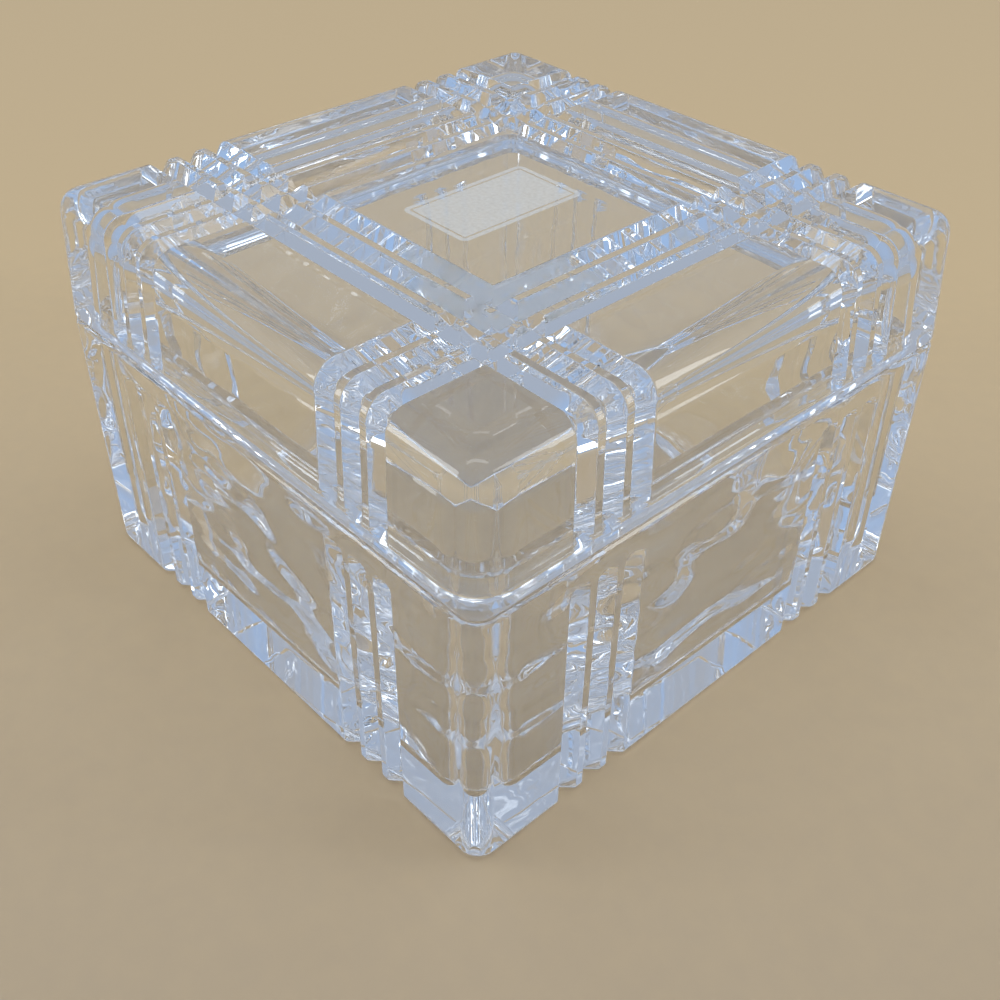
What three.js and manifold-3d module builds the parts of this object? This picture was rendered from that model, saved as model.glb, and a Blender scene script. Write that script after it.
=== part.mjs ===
// Square pressed-crystal trinket box: a thick-walled base and a deep lid that lifts off.
// V grooves lie three to a band. Two bands run each way, over the lid and down both pieces.
import * as THREE from 'three';
import { mergeVertices } from 'three/addons/utils/BufferGeometryUtils.js';
import Module from 'manifold-3d';

const wasm = await Module();
wasm.setup();

// Overall sizes, in millimetres
const WIDTH = 95;               // across the flats at the parting line, the widest place
const BASE_HEIGHT = 43.8;       // from the table to the shoulder that carries the lid
const BASE_DRAFT = 0.1;         // how far each outer face leans in, from parting line to foot
const LID_HEIGHT = 20.7;
const LID_DRAFT = 1.2;          // how far each outer face leans in, from parting line to top
const SEAT_GAP = 0.3;           // between the shoulder and the lid's rim

// Walls
const LID_WALL = 4.6;           // at the lid's rim
const LID_CEILING = 5.2;
const LID_CAVITY_DRAFT = 1.2;   // how far each inner face leans in, from rim to ceiling
const BASE_FLOOR = 5.5;
const BASE_CAVITY_DRAFT = 0.6;  // how far each inner face leans in, from lip to floor

// The lip on the base that keeps the lid in place
const LIP_HEIGHT = 3.5;
const LIP_WALL = 2.2;
const LIP_CLEARANCE = 0.4;      // between the lip and the lid's inner face

// Rounded edges
const CORNER_RADIUS = 3.3;      // upright outer corners
const LID_EDGE_RADIUS = 3.2;    // round the lid's top
const FOOT_EDGE_RADIUS = 1;
const RIM_EDGE_RADIUS = 0.8;    // both sides of the parting line, and the lip's crown
const CAVITY_CORNER_RADIUS = 3;
const CAVITY_FLOOR_RADIUS = 3;

// Groove bands
const CENTRE_SQUARE = 37.2;     // between the two bands that run the same way
const GROOVES_PER_BAND = 3;
const GROOVE_WIDTH = 3.75;
const GROOVE_DEPTH = 1.9;
const RIDGE_LAND = 1.15;        // flat left between two grooves
const LID_PLAIN_RIM = 2.2;      // ungrooved strip above the parting line
const BASE_PLAIN_RIM = 3.3;     // ungrooved strip below the parting line

// Fineness of the round edges
const CORNER_STEPS = 6;
const EDGE_STEPS = 5;
const LEAST_RADIUS = 0.1;

// How far a cutter stands proud of what it cuts, and the lip is rooted in the base
const OVERCUT = 1;

const QUARTER_TURN = Math.PI / 2;
const HALF_WIDTH = WIDTH / 2;
const LID_BOTTOM = BASE_HEIGHT + SEAT_GAP;
const LID_TOP = LID_BOTTOM + LID_HEIGHT;
const LID_MOUTH = HALF_WIDTH - LID_WALL;
const LIP_HALF = LID_MOUTH - LIP_CLEARANCE;
const BASE_MOUTH = LIP_HALF - LIP_WALL;

const crystal = { color: 0xe9f1f6, roughness: 0.04, metalness: 0 };

// A level square with round corners, as a ring of points that runs anticlockwise seen from above
function squareRing(half, radius, z) {
  const bend = Math.max(radius, LEAST_RADIUS);
  const ring = [];
  for (let corner = 0; corner < 4; corner += 1) {
    const middle = new THREE.Vector2(half - bend, half - bend);
    middle.rotateAround(new THREE.Vector2(), corner * QUARTER_TURN);
    for (let step = 0; step <= CORNER_STEPS; step += 1) {
      const angle = (corner + step / CORNER_STEPS) * QUARTER_TURN;
      const x = middle.x + bend * Math.cos(angle);
      const y = middle.y + bend * Math.sin(angle);
      ring.push(new THREE.Vector3(x, y, z));
    }
  }
  return ring;
}

// A closed skin over rings of equal length, each anticlockwise seen from the last one's side
function loft(rings) {
  const count = rings[0].length;
  const points = rings.flat();
  const index = [];
  for (let row = 0; row + 1 < rings.length; row += 1) {
    for (let i = 0; i < count; i += 1) {
      const next = (i + 1) % count;
      const [a, b] = [row * count + i, row * count + next];
      index.push(a, b, b + count, a, b + count, a + count);
    }
  }
  const last = (rings.length - 1) * count;
  for (let i = 1; i + 1 < count; i += 1) {
    index.push(0, i + 1, i);
    index.push(last, last + i, last + i + 1);
  }
  const geometry = new THREE.BufferGeometry().setFromPoints(points);
  geometry.setIndex(index);
  return geometry;
}

// A round-edged block that stands on z = 0, whose faces lean from half width `foot` to `crown`
function block(foot, crown, height, cornerRadius, footRadius, crownRadius) {
  const rings = [];
  const addRing = (z, inset) => {
    const half = THREE.MathUtils.lerp(foot, crown, z / height);
    rings.push(squareRing(half - inset, cornerRadius - inset, z));
  };
  for (let step = 0; step <= EDGE_STEPS; step += 1) {
    const angle = (step / EDGE_STEPS) * QUARTER_TURN;
    addRing(footRadius * (1 - Math.cos(angle)), footRadius * (1 - Math.sin(angle)));
    if (footRadius === 0) break;
  }
  for (let step = 0; step <= EDGE_STEPS; step += 1) {
    const angle = (step / EDGE_STEPS) * QUARTER_TURN;
    addRing(height - crownRadius * (1 - Math.sin(angle)), crownRadius * (1 - Math.cos(angle)));
    if (crownRadius === 0) break;
  }
  return loft(rings);
}

function toSolid(geometry) {
  const merged = mergeVertices(geometry);
  const vertProperties = new Float32Array(merged.attributes.position.array);
  const triVerts = new Uint32Array(merged.index.array);
  return new wasm.Manifold(new wasm.Mesh({ numProp: 3, vertProperties, triVerts }));
}

function toPiece(name, solid) {
  const { vertProperties, triVerts } = solid.getMesh();
  const geometry = new THREE.BufferGeometry();
  geometry.setAttribute('position', new THREE.BufferAttribute(vertProperties, 3));
  geometry.setIndex(new THREE.BufferAttribute(triVerts, 1));
  geometry.computeVertexNormals();
  const piece = new THREE.Mesh(geometry, new THREE.MeshStandardMaterial(crystal));
  piece.name = name;
  return piece;
}

// Draws a geometry in or out with its height, so that upright faces and grooves take the draft
function drafted(geometry, scaleAt) {
  const position = geometry.attributes.position;
  for (let i = 0; i < position.count; i += 1) {
    const scale = scaleAt(position.getZ(i));
    position.setXY(i, position.getX(i) * scale, position.getY(i) * scale);
  }
  return geometry;
}

const LID_TOP_SCALE = 1 - LID_DRAFT / HALF_WIDTH;
const FOOT_SCALE = 1 - BASE_DRAFT / HALF_WIDTH;
const lidScale = (z) => THREE.MathUtils.mapLinear(z, LID_BOTTOM, LID_TOP, 1, LID_TOP_SCALE);
const baseScale = (z) => THREE.MathUtils.mapLinear(z, 0, BASE_HEIGHT, FOOT_SCALE, 1);

// Where the grooves lie, left and right of the middle
function grooveOffsets() {
  const offsets = [];
  for (let i = 0; i < GROOVES_PER_BAND; i += 1) {
    const offset = CENTRE_SQUARE / 2 + GROOVE_WIDTH / 2 + i * (GROOVE_WIDTH + RIDGE_LAND);
    offsets.push(-offset, offset);
  }
  return offsets;
}

// One station of a groove cutter: two points proud of the surface, and the valley below it
function vee(offset, proud, valley) {
  const spread = (GROOVE_WIDTH / 2) * (1 + OVERCUT / GROOVE_DEPTH);
  return [
    new THREE.Vector3(offset - spread, proud.x, proud.y),
    new THREE.Vector3(offset + spread, proud.x, proud.y),
    new THREE.Vector3(offset, valley.x, valley.y),
  ];
}

// A groove that climbs one side of the lid, crosses the top and goes down the far side
function lidGroove(offset) {
  const rampFoot = LID_BOTTOM + LID_PLAIN_RIM - OVERCUT;
  const rampTop = LID_BOTTOM + LID_PLAIN_RIM + GROOVE_DEPTH;
  const turn = new THREE.Vector2(HALF_WIDTH - LID_EDGE_RADIUS, LID_TOP - LID_EDGE_RADIUS);
  const valleyRadius = Math.max(LID_EDGE_RADIUS - GROOVE_DEPTH, LEAST_RADIUS);
  const stations = [];
  const addRamp = (side) => {
    const proud = new THREE.Vector2(side * (HALF_WIDTH + OVERCUT), rampFoot);
    const valley = new THREE.Vector2(side * (HALF_WIDTH - GROOVE_DEPTH), rampTop);
    stations.push(vee(offset, proud, valley));
  };
  const addTurn = (side, angle) => {
    const direction = new THREE.Vector2(side * Math.cos(angle), Math.sin(angle));
    const centre = new THREE.Vector2(side * turn.x, turn.y);
    const proud = centre.clone().addScaledVector(direction, LID_EDGE_RADIUS + OVERCUT);
    const valley = centre.clone().addScaledVector(direction, valleyRadius);
    stations.push(vee(offset, proud, valley));
  };
  addRamp(-1);
  for (let step = 0; step <= EDGE_STEPS; step += 1) {
    addTurn(-1, (step / EDGE_STEPS) * QUARTER_TURN);
  }
  for (let step = EDGE_STEPS; step >= 0; step -= 1) {
    addTurn(1, (step / EDGE_STEPS) * QUARTER_TURN);
  }
  addRamp(1);
  return loft(stations);
}

// A groove up one side of the base: it runs off the foot and ramps out below the plain rim
function baseGroove(offset) {
  const rampTop = BASE_HEIGHT - BASE_PLAIN_RIM;
  const proud = -(HALF_WIDTH + OVERCUT);
  const valley = -(HALF_WIDTH - GROOVE_DEPTH);
  const proudTop = new THREE.Vector2(proud, rampTop + OVERCUT);
  const valleyTop = new THREE.Vector2(valley, rampTop - GROOVE_DEPTH);
  return loft([
    vee(offset, new THREE.Vector2(proud, -OVERCUT), new THREE.Vector2(valley, -OVERCUT)),
    vee(offset, proudTop, valleyTop),
  ]);
}

function buildBase() {
  const outerRadii = [CORNER_RADIUS, FOOT_EDGE_RADIUS, RIM_EDGE_RADIUS];
  const body = block(HALF_WIDTH, HALF_WIDTH, BASE_HEIGHT, ...outerRadii);
  let solid = toSolid(drafted(body, baseScale));

  const lipRadii = [CAVITY_CORNER_RADIUS - LIP_CLEARANCE, 0, RIM_EDGE_RADIUS];
  const lip = block(LIP_HALF, LIP_HALF, OVERCUT + LIP_HEIGHT, ...lipRadii);
  solid = solid.add(toSolid(lip.translate(0, 0, BASE_HEIGHT - OVERCUT)));

  for (let side = 0; side < 4; side += 1) {
    for (const offset of grooveOffsets()) {
      const cutter = drafted(baseGroove(offset), baseScale).rotateZ(side * QUARTER_TURN);
      solid = solid.subtract(toSolid(cutter));
    }
  }

  const cavityHeight = BASE_HEIGHT + LIP_HEIGHT + OVERCUT - BASE_FLOOR;
  const cavityFoot = BASE_MOUTH - BASE_CAVITY_DRAFT;
  const cavityRadii = [CAVITY_CORNER_RADIUS, CAVITY_FLOOR_RADIUS, 0];
  const cavity = block(cavityFoot, BASE_MOUTH, cavityHeight, ...cavityRadii);
  solid = solid.subtract(toSolid(cavity.translate(0, 0, BASE_FLOOR)));
  return toPiece('base', solid);
}

function buildLid() {
  const outerRadii = [CORNER_RADIUS, RIM_EDGE_RADIUS, LID_EDGE_RADIUS];
  const body = block(HALF_WIDTH, HALF_WIDTH, LID_HEIGHT, ...outerRadii);
  let solid = toSolid(drafted(body.translate(0, 0, LID_BOTTOM), lidScale));

  for (let turn = 0; turn < 2; turn += 1) {
    for (const offset of grooveOffsets()) {
      const cutter = drafted(lidGroove(offset), lidScale).rotateZ(turn * QUARTER_TURN);
      solid = solid.subtract(toSolid(cutter));
    }
  }

  const cavityHeight = LID_HEIGHT - LID_CEILING + OVERCUT;
  const cavityTop = LID_MOUTH - LID_CAVITY_DRAFT;
  const cavityRadii = [CAVITY_CORNER_RADIUS, 0, CAVITY_FLOOR_RADIUS];
  const cavity = block(LID_MOUTH, cavityTop, cavityHeight, ...cavityRadii);
  solid = solid.subtract(toSolid(cavity.translate(0, 0, LID_BOTTOM - OVERCUT)));
  return toPiece('lid', solid);
}

const trinketBox = new THREE.Group();
trinketBox.add(buildBase(), buildLid());

export default trinketBox;
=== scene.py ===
"""Square pressed-crystal trinket box: a grooved base and a grooved lift-off lid of clear glass."""
import math

import bmesh
import bpy
import numpy as np
from mathutils import Euler, Matrix, Vector


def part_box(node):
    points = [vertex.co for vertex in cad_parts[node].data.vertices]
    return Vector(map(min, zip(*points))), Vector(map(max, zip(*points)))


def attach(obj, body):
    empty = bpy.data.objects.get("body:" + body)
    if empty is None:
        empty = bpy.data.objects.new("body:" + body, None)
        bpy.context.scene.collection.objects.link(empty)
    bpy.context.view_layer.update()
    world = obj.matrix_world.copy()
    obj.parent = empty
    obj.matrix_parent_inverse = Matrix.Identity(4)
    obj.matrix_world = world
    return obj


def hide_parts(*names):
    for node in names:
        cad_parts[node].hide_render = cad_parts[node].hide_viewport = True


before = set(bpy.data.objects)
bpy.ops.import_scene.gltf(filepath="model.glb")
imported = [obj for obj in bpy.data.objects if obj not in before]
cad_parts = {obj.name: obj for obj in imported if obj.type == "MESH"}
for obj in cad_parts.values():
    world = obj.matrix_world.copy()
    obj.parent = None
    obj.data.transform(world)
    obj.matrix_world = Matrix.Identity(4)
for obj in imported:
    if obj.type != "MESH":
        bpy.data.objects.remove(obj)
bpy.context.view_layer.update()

# Heights and width of the two pieces, from the frame, in metres
base_low, base_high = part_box("base")
lid_low, lid_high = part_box("lid")
HALF_WIDTH = base_high.x
LIP_TOP = base_high.z
LID_FOOT = lid_low.z
LID_TOP = lid_high.z
SEAT_GAP = 0.0003
SHOULDER = LID_FOOT - SEAT_GAP

# Walls
LID_WALL = 0.0046
LID_CEILING = 0.0052
LID_HOLLOW_LEAN = 0.0012
BASE_FLOOR = 0.0055
BASE_HOLLOW_LEAN = 0.0006
LIP_WALL = 0.0022
LIP_CLEARANCE = 0.0004
LID_MOUTH = HALF_WIDTH - LID_WALL
LIP_HALF = LID_MOUTH - LIP_CLEARANCE
BASE_MOUTH = LIP_HALF - LIP_WALL

# Outer faces lean in by this much, away from the parting line
LID_LEAN = 0.0012
BASE_LEAN = 0.0001

# Rounded edges
CORNER_RADIUS = 0.0032
FOOT_RADIUS = 0.001
RIM_RADIUS = 0.0008
LIP_RADIUS = 0.0007
LID_HOLLOW_RADIUS = 0.004
BASE_HOLLOW_RADIUS = 0.003
CORNER_STEPS = 8
FOOT_STEPS = 5
RIM_STEPS = 3

# Groove bands
CENTRE_SQUARE = 0.0372
GROOVES_PER_BAND = 3
GROOVE_WIDTH = 0.00375
GROOVE_DEPTH = 0.0019
RIDGE_LAND = 0.00115
RIDGE_DROP = 0.00012
PANEL_EDGE_RADIUS = 0.00045
RIDGE_EDGE_RADIUS = 0.0003
VALLEY_RADIUS = 0.0002
ARC_STEPS = 3
END_STEPS = 8
LID_PLAIN_RIM = 0.0022
BASE_PLAIN_RIM = 0.0033

# The plunger side of pressed glass is wavy, most of all in the deep base.
# Each wave has a height, a length up the wall and a length along it.
WAVE_GRID = 0.001
WAVE_FADE = 0.004
LID_WAVES = [(0.0002, 0.009, 0.009)]
BASE_WAVES = [(0.0014, 0.009, 0.009), (0.0008, 0.0035, 0.014)]
# The wave grid ends where the round corners begin
WAVE_REACH = BASE_MOUTH - BASE_HOLLOW_RADIUS

# The frosted panel in the middle of the lid
PANEL_CENTRE = (0.0, -0.0015)
PANEL_HALF = (0.00675, 0.0115)
PANEL_CORNER = 0.0012
PANEL_LINE_INSET = 0.0008
PANEL_LINE_WIDTH = 0.0003
PANEL_DEPTH = 0.0001

# Clear glass with a faint ripple and a few smudges, and the panel's frost
GLASS_TINT = (0.968, 0.983, 1, 1)
GLASS_INDEX = 1.53
RIPPLE_LENGTH = 0.009
RIPPLE_HEIGHT = 0.000015
SMUDGE_SIZE = 0.02
SMUDGE_START = 0.62
SMUDGE_ROUGHNESS = 0.02
FROST_COLOUR = (0.74, 0.82, 0.9, 1)
FROST_GRAIN = 0.0006
FROST_LEAST = 0.22
FROST_SPREAD = 0.25

# Paper under the box with painted light: darker near the camera, lighter and warmer towards the far
# corner
PAPER_SHADED_NEAR = (0.414, 0.334, 0.234, 1)
PAPER_LIT_FAR = (0.53, 0.411, 0.25, 1)
PAPER_LIGHT_SLOPE = 3.6
PAPER_START = 0.33
FIBRE_SIZE = 0.004
FIBRE_SHARE = 0.3
PAPER_ROUGHNESS = 0.9
FLOOR_RADIUS = 3
FLOOR_SIDES = 96
FLOOR_GAP = 0.0003

TINY = 1e-6
BISECT_SNAP = 1e-8
SMOOTH_ANGLE = math.radians(30)
X, Y, Z = 0, 1, 2


# Modelling steps

def add_block(name, half, low, high):
    bpy.ops.object.select_all(action="DESELECT")
    middle = (0, 0, (low + high) / 2)
    size = (2 * half, 2 * half, high - low)
    bpy.ops.mesh.primitive_cube_add(size=1, location=middle, scale=size)
    bpy.ops.object.transform_apply(location=True, rotation=False, scale=True)
    block = bpy.context.object
    block.name = name
    return block


def open_block(block):
    bpy.ops.object.select_all(action="DESELECT")
    bpy.context.view_layer.objects.active = block
    block.select_set(True)
    bpy.ops.object.mode_set(mode="EDIT")


def close_block():
    bpy.ops.object.mode_set(mode="OBJECT")


def pick(kind, wanted):
    """Selects, in edit mode, the shown faces or edges that a test wants, and no others."""
    bpy.ops.mesh.select_mode(type=kind)
    bpy.ops.mesh.select_all(action="DESELECT")
    data = bpy.context.edit_object.data
    mesh = bmesh.from_edit_mesh(data)
    for item in mesh.faces if kind == "FACE" else mesh.edges:
        if not item.hide and wanted(item):
            item.select_set(True)
    mesh.select_flush_mode()
    bmesh.update_edit_mesh(data)


def heights(edge):
    return [corner.co.z for corner in edge.verts]


def lies_at(edge, height):
    return all(abs(z - height) < TINY for z in heights(edge))


def is_upright(edge):
    return max(heights(edge)) - min(heights(edge)) > TINY


def round_edges(wanted, radius, steps):
    pick("EDGE", wanted)
    bpy.ops.mesh.bevel(offset=radius, segments=steps, profile=0.5, affect="EDGES")


def delete_end(height):
    """Opens a block by deleting its flat end at a height."""
    pick("FACE", lambda face: all(abs(corner.co.z - height) < TINY for corner in face.verts))
    bpy.ops.mesh.delete(type="FACE")


def cut(axis, place):
    """One flat cut, square to an axis, through all that isn't hidden."""
    direction = Vector((axis == X, axis == Y, axis == Z))
    bpy.ops.mesh.select_all(action="SELECT")
    bpy.ops.mesh.bisect(plane_co=direction * place, plane_no=direction, threshold=BISECT_SNAP)


def hide(wanted):
    pick("FACE", wanted)
    bpy.ops.mesh.hide(unselected=False)


def middle_height(face):
    return face.calc_center_median().z


def on_loop(height, half, radius):
    """A test for the edges of the square at a height and half width, with corners of a radius."""
    # The middle of a round corner lies about 0.3 of its radius inside the square
    corner_reach = half - radius / 3

    def wanted(edge):
        ends = [corner.co for corner in edge.verts]
        level = all(abs(end.z - height) < TINY for end in ends)
        reach = [max(abs(end.x), abs(end.y)) for end in ends]
        return level and all(corner_reach < r < half + TINY for r in reach)
    return wanted


def extrude_rim(shift, scale):
    """Extrudes the selected rim, shifts it upwards and scales it about the middle."""
    bpy.ops.mesh.extrude_region_move(TRANSFORM_OT_translate={"value": (0, 0, shift)})
    bpy.ops.transform.resize(value=(scale, scale, 1), center_override=(0, 0, 0))


def join_shells(outside, inside):
    """Joins a block's outside and hollow and bridges their open rims."""
    bpy.ops.object.select_all(action="DESELECT")
    outside.select_set(True)
    inside.select_set(True)
    bpy.context.view_layer.objects.active = outside
    bpy.ops.object.join()
    open_block(outside)
    pick("EDGE", lambda edge: edge.is_boundary)
    bpy.ops.mesh.bridge_edge_loops()
    close_block()


def points_of(block):
    points = np.empty(len(block.data.vertices) * 3)
    block.data.vertices.foreach_get("co", points)
    return points.reshape(-1, 3)


def set_points(block, points):
    block.data.vertices.foreach_set("co", points.ravel())
    block.data.update()


# Groove profile

def groove_corners():
    """The band's profile in one direction, as corners of (place, depth, radius)."""
    start = CENTRE_SQUARE / 2
    pitch = GROOVE_WIDTH + RIDGE_LAND
    corners = [(start, 0, PANEL_EDGE_RADIUS)]
    for i in range(GROOVES_PER_BAND):
        left = start + i * pitch
        if i > 0:
            corners.append((left, RIDGE_DROP, RIDGE_EDGE_RADIUS))
        corners.append((left + GROOVE_WIDTH / 2, GROOVE_DEPTH, VALLEY_RADIUS))
        if i + 1 < GROOVES_PER_BAND:
            corners.append((left + GROOVE_WIDTH, RIDGE_DROP, RIDGE_EDGE_RADIUS))
    end = start + GROOVES_PER_BAND * pitch - RIDGE_LAND
    corners.append((end, 0, PANEL_EDGE_RADIUS))
    return corners


def rounded(corners):
    """The profile's points, with each corner drawn as a short curve that its radius sets."""
    places = np.array([corner[:2] for corner in corners])
    before = np.vstack([[0, 0], places[:-1]])
    after = np.vstack([places[1:], [HALF_WIDTH, 0]])
    points = []
    for corner, back, ahead, (_, _, radius) in zip(places, before, after, corners):
        to_back = (back - corner) / np.linalg.norm(back - corner)
        to_ahead = (ahead - corner) / np.linalg.norm(ahead - corner)
        half_angle = math.acos(np.clip(to_back @ to_ahead, -1, 1)) / 2
        reach = radius / math.tan(half_angle)
        for step in range(ARC_STEPS + 1):
            t = step / ARC_STEPS
            bend = (1 - t) ** 2 * to_back + t ** 2 * to_ahead
            points.append(corner + reach * bend)
    return np.array(points)


PROFILE = rounded(groove_corners())
BAND_START, BAND_END = PROFILE[0, 0], PROFILE[-1, 0]


def groove_depth(place, past):
    """Depth at places across the bands, where grooves have round ends that begin at past = 0."""
    place = np.abs(place)
    straight = np.interp(place, PROFILE[:, 0], PROFILE[:, 1], left=0, right=0)
    pitch = GROOVE_WIDTH + RIDGE_LAND
    first = CENTRE_SQUARE / 2 + GROOVE_WIDTH / 2
    number = np.clip(np.round((place - first) / pitch), 0, GROOVES_PER_BAND - 1)
    reach = np.hypot(place - first - number * pitch, past) / (GROOVE_WIDTH / 2)
    scoop = GROOVE_DEPTH * np.clip(1 - reach, 0, 1)
    land = RIDGE_DROP * np.clip(1 - past / (GROOVE_WIDTH / 2), 0, 1)
    return np.where(past > 0, np.minimum(straight, np.maximum(scoop, land)), straight)


def cut_ends(tip, towards):
    """Cuts level lines over the grooves' round ends, from their tips inwards."""
    for step in range(END_STEPS + 1):
        cut(Z, tip + towards * GROOVE_WIDTH / 2 * step / END_STEPS)


def cut_bands():
    """Cuts a block's shown faces along every line of the groove profile, both ways."""
    for place in PROFILE[:, 0]:
        for axis in (X, Y):
            cut(axis, place)
            cut(axis, -place)


def in_band(place):
    return BAND_START < abs(place) < BAND_END


def poke_crossings(ramp_low, ramp_high):
    """Divides each small face where bands cross or end, so that their creases run true."""
    def wanted(face):
        place = face.calc_center_median()
        crossing = in_band(place.x) and in_band(place.y)
        ending = (in_band(place.x) or in_band(place.y)) and ramp_low < place.z < ramp_high
        return crossing or ending
    pick("FACE", wanted)
    bpy.ops.mesh.poke()


def lean(points, low, high, low_half, high_half):
    """Draws points in with their height, so that upright faces and grooves take the draft."""
    share = (points[:, Z] - low) / (high - low)
    half = low_half + (high_half - low_half) * share
    points[:, :Z] *= (half / HALF_WIDTH)[:, None]
    return points


# Waves

def wave_walls(block, low, high, waves):
    """Divides the walls of a hollow finely and gives them waves that fade out at both ends."""
    cut(Z, low)
    cut(Z, high)
    hide(lambda face: not low < middle_height(face) < high)
    for level in np.arange(low + WAVE_GRID, high, WAVE_GRID):
        cut(Z, float(level))
    for place in np.arange(WAVE_GRID / 2, WAVE_REACH, WAVE_GRID):
        for axis in (X, Y):
            cut(axis, float(place))
            cut(axis, float(-place))
    bpy.ops.mesh.reveal(select=False)
    bpy.ops.mesh.select_all(action="SELECT")
    bpy.ops.mesh.flip_normals()
    close_block()
    walls = block.vertex_groups.new(name="walls")
    for corner in block.data.vertices:
        from_end = min(corner.co.z - low, high - corner.co.z)
        walls.add([corner.index], min(max(from_end / WAVE_FADE, 0), 1), "REPLACE")
    for height, up, along in waves:
        wave_once(block, walls, height, up, along)


def wave_once(block, walls, height, up, along):
    """Moves the walls in and out by a cloudy pattern, stretched by an empty to its lengths."""
    bpy.ops.object.empty_add()
    stretch = bpy.context.object
    stretch.scale = (along, along, up)
    bpy.context.view_layer.update()
    cloud = bpy.data.textures.new("wave", "CLOUDS")
    cloud.noise_scale = 1
    cloud.noise_depth = 0
    wave = block.modifiers.new("wave", "DISPLACE")
    wave.texture = cloud
    wave.texture_coords = "OBJECT"
    wave.texture_coords_object = stretch
    wave.vertex_group = walls.name
    wave.strength = height
    bpy.context.view_layer.objects.active = block
    bpy.ops.object.modifier_apply(modifier=wave.name)
    bpy.data.objects.remove(stretch)


# The lid

def lid_outside():
    block = add_block("crystal_lid", HALF_WIDTH, LID_FOOT, LID_TOP)
    open_block(block)
    round_edges(lambda edge: max(heights(edge)) > LID_FOOT + TINY, CORNER_RADIUS, CORNER_STEPS)
    round_edges(lambda edge: lies_at(edge, LID_FOOT), RIM_RADIUS, RIM_STEPS)
    delete_end(LID_FOOT)

    tip = LID_FOOT + LID_PLAIN_RIM
    end = tip + GROOVE_WIDTH / 2
    cut(Z, tip)
    hide(lambda face: middle_height(face) < tip)
    cut_ends(tip, 1)
    cut_bands()
    poke_crossings(tip, end)
    bpy.ops.mesh.reveal(select=False)
    close_block()

    points = points_of(block)
    past = np.maximum(end - points[:, Z], 0)
    depth = np.maximum(groove_depth(points[:, X], past), groove_depth(points[:, Y], past))
    core = HALF_WIDTH - CORNER_RADIUS
    axis_points = points.copy()
    axis_points[:, :Z] = np.clip(points[:, :Z], -core, core)
    axis_points[:, Z] = np.minimum(points[:, Z], LID_TOP - CORNER_RADIUS)
    outward = points - axis_points
    reach = np.linalg.norm(outward, axis=1, keepdims=True)
    outward = np.divide(outward, reach, out=np.zeros_like(outward), where=reach > 0)
    points -= outward * depth[:, None]
    set_points(block, lean(points, LID_FOOT, LID_TOP, HALF_WIDTH, HALF_WIDTH - LID_LEAN))
    return block


def lid_hollow():
    ceiling = LID_TOP - LID_CEILING
    block = add_block("lid_hollow", LID_MOUTH, LID_FOOT, ceiling)
    open_block(block)
    pick("FACE", lambda face: middle_height(face) > ceiling - TINY)
    shrink = 1 - LID_HOLLOW_LEAN / LID_MOUTH
    bpy.ops.transform.resize(value=(shrink, shrink, 1), center_override=(0, 0, 0))
    round_edges(lambda edge: max(heights(edge)) > LID_FOOT + TINY, LID_HOLLOW_RADIUS, CORNER_STEPS)
    delete_end(LID_FOOT)
    wave_walls(block, LID_FOOT + 2 * LIP_RADIUS, ceiling - LID_HOLLOW_RADIUS, LID_WAVES)
    return block


def build_lid():
    lid = lid_outside()
    join_shells(lid, lid_hollow())
    open_block(lid)
    round_edges(on_loop(LID_FOOT, LID_MOUTH, LID_HOLLOW_RADIUS), LIP_RADIUS, RIM_STEPS)
    close_block()
    return finish_piece(lid, "lid")


# The base

def base_outside():
    block = add_block("crystal_base", HALF_WIDTH, base_low.z, SHOULDER)
    foot = base_low.z
    open_block(block)
    round_edges(is_upright, CORNER_RADIUS, CORNER_STEPS)
    round_edges(lambda edge: lies_at(edge, foot), FOOT_RADIUS, FOOT_STEPS)
    round_edges(lambda edge: lies_at(edge, SHOULDER), RIM_RADIUS, RIM_STEPS)
    delete_end(SHOULDER)

    tip = SHOULDER - BASE_PLAIN_RIM
    end = tip - GROOVE_WIDTH / 2
    cut(Z, tip)
    hide(lambda face: middle_height(face) > tip or middle_height(face) < foot + TINY)
    cut_ends(tip, -1)
    cut_bands()
    poke_crossings(end, tip)
    bpy.ops.mesh.reveal(select=False)
    close_block()

    points = points_of(block)
    past = np.maximum(points[:, Z] - end, 0)
    depth = np.maximum(groove_depth(points[:, X], past), groove_depth(points[:, Y], past))
    core = HALF_WIDTH - CORNER_RADIUS
    outward = points - np.clip(points, -core, core)
    outward[:, Z] = 0
    reach = np.linalg.norm(outward, axis=1, keepdims=True)
    outward = np.divide(outward, reach, out=np.zeros_like(outward), where=reach > 0)
    points -= outward * depth[:, None]
    set_points(block, lean(points, foot, SHOULDER, HALF_WIDTH - BASE_LEAN, HALF_WIDTH))
    return block


def base_hollow():
    block = add_block("base_hollow", BASE_MOUTH, BASE_FLOOR, LIP_TOP)
    open_block(block)
    pick("FACE", lambda face: middle_height(face) < BASE_FLOOR + TINY)
    shrink = 1 - BASE_HOLLOW_LEAN / BASE_MOUTH
    bpy.ops.transform.resize(value=(shrink, shrink, 1), center_override=(0, 0, 0))
    round_edges(lambda edge: min(heights(edge)) < LIP_TOP - TINY, BASE_HOLLOW_RADIUS, CORNER_STEPS)
    delete_end(LIP_TOP)
    pick("EDGE", lambda edge: edge.is_boundary)
    extrude_rim(0, LIP_HALF / BASE_MOUTH)
    extrude_rim(SHOULDER - LIP_TOP, 1)
    wave_walls(block, BASE_FLOOR + BASE_HOLLOW_RADIUS, SHOULDER - WAVE_GRID, BASE_WAVES)
    return block


def build_base():
    base = base_outside()
    join_shells(base, base_hollow())
    open_block(base)
    for half in (BASE_MOUTH, LIP_HALF):
        round_edges(on_loop(LIP_TOP, half, BASE_HOLLOW_RADIUS), LIP_RADIUS, RIM_STEPS)
    close_block()
    return finish_piece(base, "base")


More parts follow.
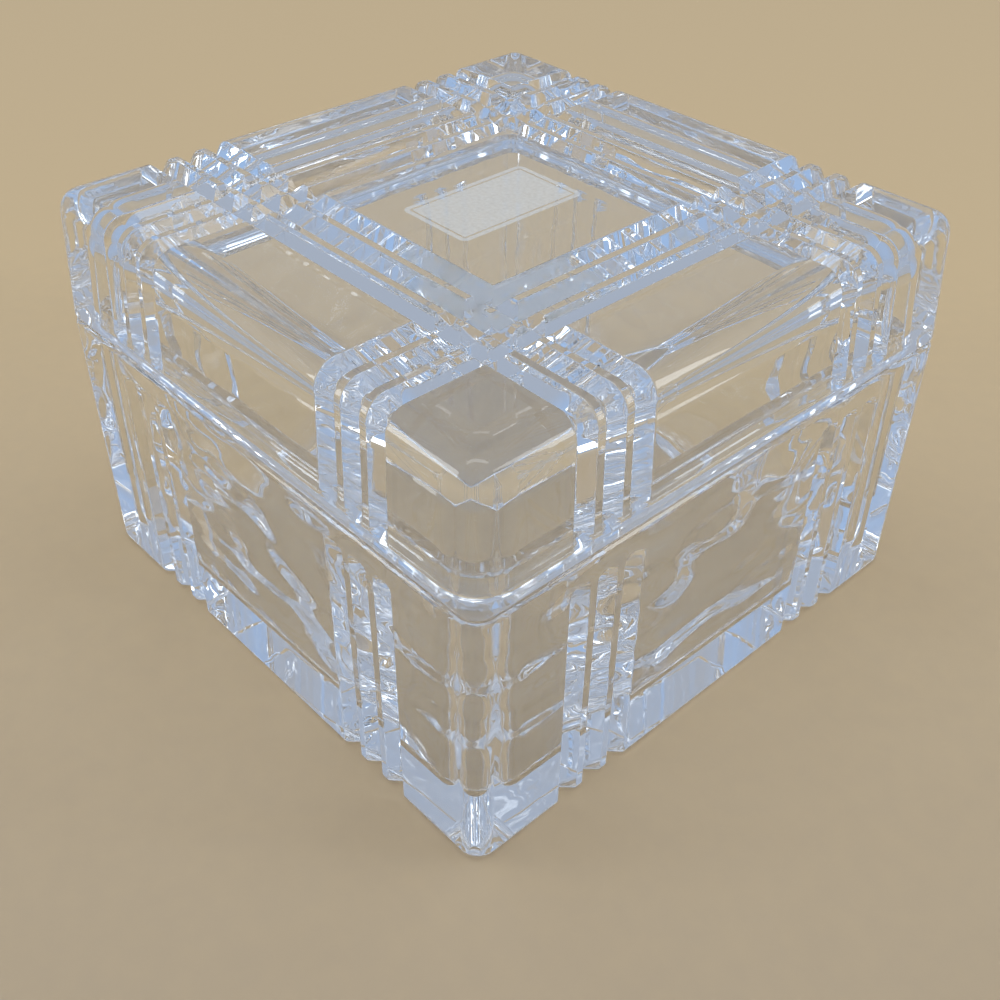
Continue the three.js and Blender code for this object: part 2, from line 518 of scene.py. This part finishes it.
def finish_piece(piece, node):
    """Smooths a piece, keeps its flats flat and puts it in its node's place."""
    open_block(piece)
    bpy.ops.mesh.select_all(action="SELECT")
    bpy.ops.mesh.normals_make_consistent(inside=False)
    close_block()
    bpy.ops.object.shade_smooth_by_angle(angle=SMOOTH_ANGLE)
    flats = piece.modifiers.new("flats", "WEIGHTED_NORMAL")
    flats.keep_sharp = True
    bpy.ops.object.modifier_apply(modifier=flats.name)
    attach(piece, node)
    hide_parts(node)
    return piece


# Finishes

class Value:
    """A number on its way through a finish: sums written on it become Math nodes."""

    def __init__(self, finish, socket):
        self.finish = finish
        self.socket = socket

    def _math(self, operation, first, second):
        return self.finish.node("ShaderNodeMath", {"operation": operation}, {0: first, 1: second})

    def __add__(self, other):
        return self._math("ADD", self, other)

    __radd__ = __add__

    def __sub__(self, other):
        return self._math("SUBTRACT", self, other)

    def __rsub__(self, other):
        return self._math("SUBTRACT", other, self)

    def __mul__(self, other):
        return self._math("MULTIPLY", self, other)

    __rmul__ = __mul__

    def __gt__(self, other):
        return self._math("GREATER_THAN", self, other)

    def __lt__(self, other):
        return self._math("LESS_THAN", self, other)

    def away_from(self, place):
        return self.finish.node("ShaderNodeMath", {"operation": "ABSOLUTE"}, {0: self - place})

    def at_least(self, other):
        return self._math("MAXIMUM", self, other)

    def hypot(self, other):
        squares = self * self + other * other
        return self.finish.node("ShaderNodeMath", {"operation": "SQRT"}, {0: squares})


class Finish:
    """The nodes of a material or of the room's light."""

    def __init__(self, owner):
        owner.use_nodes = True
        self.nodes = owner.node_tree.nodes
        self.links = owner.node_tree.links
        self.nodes.clear()

    def node(self, kind, settings=None, inputs=None, output=0):
        node = self.nodes.new(kind)
        for name, value in (settings or {}).items():
            setattr(node, name, value)
        for name, value in (inputs or {}).items():
            if isinstance(value, Value):
                self.links.new(value.socket, node.inputs[name])
            else:
                node.inputs[name].default_value = value
        return Value(self, node.outputs[output])

    def place(self):
        return self.node("ShaderNodeTexCoord", output="Object")

    def axis(self, vector, name):
        return self.node("ShaderNodeSeparateXYZ", inputs={"Vector": vector}, output=name)

    def noise(self, place, size, detail):
        inputs = {"Vector": place, "Scale": 1 / size, "Detail": detail}
        return self.node("ShaderNodeTexNoise", inputs=inputs, output="Fac")

    def mix(self, share, first, second):
        return self.node("ShaderNodeMix", {"data_type": "RGBA"}, {
            "Factor": share, 6: first, 7: second}, output=2)

    def surface(self, shader, output="ShaderNodeOutputMaterial"):
        end = self.nodes.new(output)
        self.links.new(shader.socket, end.inputs["Surface"])


def frosted_panel(finish, place):
    """How frosted a point is: grainy in a rounded panel on the lid's top, with a clear border line."""
    across = finish.axis(place, "X").away_from(PANEL_CENTRE[X]) - (PANEL_HALF[X] - PANEL_CORNER)
    along = finish.axis(place, "Y").away_from(PANEL_CENTRE[Y]) - (PANEL_HALF[Y] - PANEL_CORNER)
    reach = across.at_least(0).hypot(along.at_least(0))
    on_top = finish.axis(place, "Z") > LID_TOP - PANEL_DEPTH
    line_edge = PANEL_CORNER - PANEL_LINE_INSET
    line = (reach > line_edge - PANEL_LINE_WIDTH) * (reach < line_edge)
    grain = finish.noise(place, FROST_GRAIN, detail=2) * FROST_SPREAD + FROST_LEAST
    return (reach < PANEL_CORNER) * on_top * (1 - line) * grain


def crystal_finish():
    crystal = bpy.data.materials.new("crystal")
    finish = Finish(crystal)
    place = finish.place()
    ripple = finish.noise(place, RIPPLE_LENGTH, detail=1)
    bump = finish.node("ShaderNodeBump", inputs={
        "Height": ripple,
        "Distance": RIPPLE_HEIGHT,
        "Strength": 1,
    })
    smudge = finish.noise(place, SMUDGE_SIZE, detail=3) > SMUDGE_START
    glass = finish.node("ShaderNodeBsdfPrincipled", inputs={
        "Base Color": GLASS_TINT,
        "Roughness": smudge * SMUDGE_ROUGHNESS,
        "IOR": GLASS_INDEX,
        "Transmission Weight": 1,
        "Normal": bump,
    })
    frost = finish.node("ShaderNodeBsdfDiffuse", inputs={"Color": FROST_COLOUR, "Normal": bump})
    panel = frosted_panel(finish, place)
    etched = finish.node("ShaderNodeMixShader", inputs={"Fac": panel, 1: glass, 2: frost})
    finish.surface(etched)
    return crystal


def paper_finish():
    paper = bpy.data.materials.new("paper")
    finish = Finish(paper)
    place = finish.place()
    fibre = finish.noise(place, FIBRE_SIZE, detail=5) * FIBRE_SHARE
    # Painted light: the paper is painted lighter and warmer towards the far corner, with its own fibre
    # grain on top
    away = finish.axis(place, "Y") - finish.axis(place, "X")
    shade = finish.mix(away * PAPER_LIGHT_SLOPE + fibre + PAPER_START, PAPER_SHADED_NEAR, PAPER_LIT_FAR)
    finish.surface(finish.node("ShaderNodeBsdfPrincipled", inputs={
        "Base Color": shade,
        "Roughness": PAPER_ROUGHNESS,
    }))
    return paper


# Stage, light and camera

WALL_COLOUR = (0.39, 0.42, 0.475, 1)
WINDOW_COLOUR = (0.34, 0.5, 0.77, 1)
WALL_SIDE = (-0.73, 0.68, 0)
LOW_LIGHT = (0.28, 0.28, 0.28, 1)
HIGH_LIGHT = (1.02, 1.02, 1.02, 1)
SOFTBOX_COLOUR = (0.92, 0.97, 1)
LAMP_DISTANCE = 1.2
# The share of the window's colour at right angles to the wall
WINDOW_SHARE = 0.75

# Each softbox has a name, an azimuth and an elevation in degrees, a size and a glow
SOFTBOXES = [
    ("left_softbox", -128, 10, (0.22, 0.4), 4.8),
    ("right_softbox", 38, 18, (0.22, 0.5), 4.4),
    ("top_softbox", 137, 90, (1.8, 0.25), 2.8),
]

# The camera's place, its turns in degrees and its focal length as a share of the picture's width
CAMERA_X = 0.12217
CAMERA_Y = -0.11348
CAMERA_OVER_LID = 0.07739
CAMERA_AZIMUTH = 47.014
CAMERA_ELEVATION = 38.497
CAMERA_ROLL = 0.616
FOCAL_SHARE = 1.246
NEAR_CLIP = 0.001

# Light goes through this many glass faces before it is given up
LIGHT_BOUNCES = 32


def lay_floor(material):
    bpy.ops.object.select_all(action="DESELECT")
    bpy.ops.mesh.primitive_circle_add(
        vertices=FLOOR_SIDES, radius=FLOOR_RADIUS, fill_type="NGON", location=(0, 0, -FLOOR_GAP))
    bpy.ops.object.transform_apply(location=True)
    floor = bpy.context.object
    floor.name = "floor"
    floor.data.materials.append(material)


def add_softbox(name, azimuth, elevation, size, glow):
    """A softbox that faces the box from a direction. A glow of 1 is as bright as white paper."""
    lamp = bpy.data.lights.new(name, "AREA")
    lamp.shape = "RECTANGLE"
    lamp.size, lamp.size_y = size
    lamp.energy = glow * math.pi * lamp.size * lamp.size_y
    lamp.color = SOFTBOX_COLOUR
    holder = bpy.data.objects.new(name, lamp)
    bpy.context.scene.collection.objects.link(holder)
    turn = Euler((math.radians(90 - elevation), 0, math.radians(azimuth + 90)))
    holder.rotation_euler = turn
    holder.location = turn.to_matrix() @ Vector((0, 0, LAMP_DISTANCE))
    holder.visible_camera = False


def light_room():
    """A soft room that lights matt surfaces mostly from above, and shows dimmer walls in the glass."""
    room = bpy.data.worlds.new("room")
    bpy.context.scene.world = room
    finish = Finish(room)
    direction = finish.node("ShaderNodeTexCoord", output="Generated")
    wall = finish.node("ShaderNodeVectorMath", {"operation": "DOT_PRODUCT"}, {
        0: direction, 1: WALL_SIDE}, output="Value")
    seen = finish.mix(WINDOW_SHARE - WINDOW_SHARE * wall, WALL_COLOUR, WINDOW_COLOUR)
    matt = finish.node("ShaderNodeLightPath", output="Diffuse Depth") > 0.5
    soft = finish.mix(finish.axis(direction, "Z"), LOW_LIGHT, HIGH_LIGHT)
    light = finish.mix(matt, seen, soft)
    finish.surface(finish.node("ShaderNodeBackground", inputs={"Color": light}), "ShaderNodeOutputWorld")
    for softbox in SOFTBOXES:
        add_softbox(*softbox)


def place_camera():
    eye = Vector((CAMERA_X, CAMERA_Y, LID_TOP + CAMERA_OVER_LID))
    azimuth = math.radians(CAMERA_AZIMUTH)
    elevation = math.radians(CAMERA_ELEVATION)
    roll = math.radians(CAMERA_ROLL)
    flat = math.cos(elevation)
    back = Vector((math.sin(azimuth) * flat, -math.cos(azimuth) * flat, math.sin(elevation)))
    right = Vector((math.cos(azimuth), math.sin(azimuth), 0))
    up = back.cross(right)
    turned_right = right * math.cos(roll) + up * math.sin(roll)
    turned_up = up * math.cos(roll) - right * math.sin(roll)
    lens = bpy.data.cameras.new("camera")
    lens.lens = FOCAL_SHARE * lens.sensor_width
    lens.clip_start = NEAR_CLIP
    camera = bpy.data.objects.new("camera", lens)
    bpy.context.scene.collection.objects.link(camera)
    turn = Matrix((turned_right, turned_up, back)).transposed()
    camera.matrix_world = Matrix.Translation(eye) @ turn.to_4x4()
    bpy.context.scene.camera = camera


lid = build_lid()
base = build_base()
crystal = crystal_finish()
for piece in (lid, base):
    piece.data.materials.clear()
    piece.data.materials.append(crystal)
lay_floor(paper_finish())
light_room()
place_camera()
bpy.context.scene.view_settings.view_transform = "Standard"
bpy.context.scene.cycles.max_bounces = LIGHT_BOUNCES
bpy.context.scene.cycles.transmission_bounces = LIGHT_BOUNCES
bpy.context.scene.cycles.glossy_bounces = LIGHT_BOUNCES
bpy.context.scene.cycles.blur_glossy = 0
